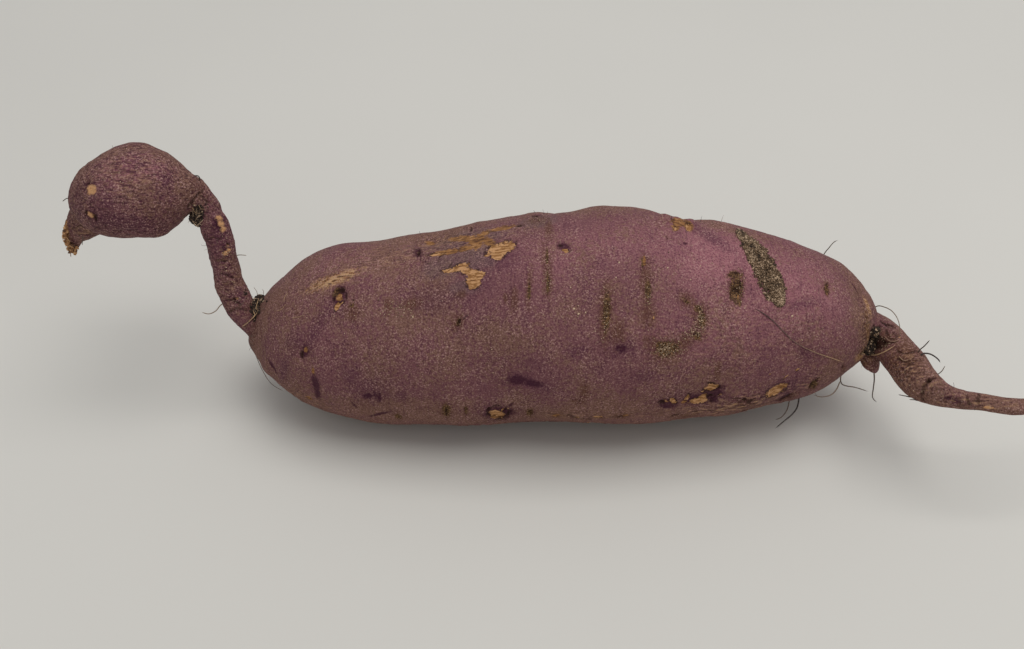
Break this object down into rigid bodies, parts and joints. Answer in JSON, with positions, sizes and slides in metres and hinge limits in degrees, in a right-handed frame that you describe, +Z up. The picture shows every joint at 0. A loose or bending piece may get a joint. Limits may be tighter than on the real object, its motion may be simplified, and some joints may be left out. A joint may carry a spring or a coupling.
{
  "type": "sweet potato",
  "caption": "Freshly dug sweet potato lying down: thick body, thin hooked neck with a small beaked bulb, bent tapering tail, rootlets and dried soil.",
  "frame": {"origin": "on the table, on the flat spot under the middle of the body", "axes": "+X along the body towards the tail, +Y to the back, +Z up"},
  "size_m": [0.3186, 0.083, 0.0861],
  "materials": {
    "skin": "matte purple-brown root skin with tan corky scars",
    "soil": "dry crumbled soil"
  },
  "bodies": {
    "root": {"sweet_potato": "skin", "soil_cake": "soil", "neck_soil": "soil", "crook_soil": "soil", "tail_soil": "soil"}
  },
  "joints": []
}
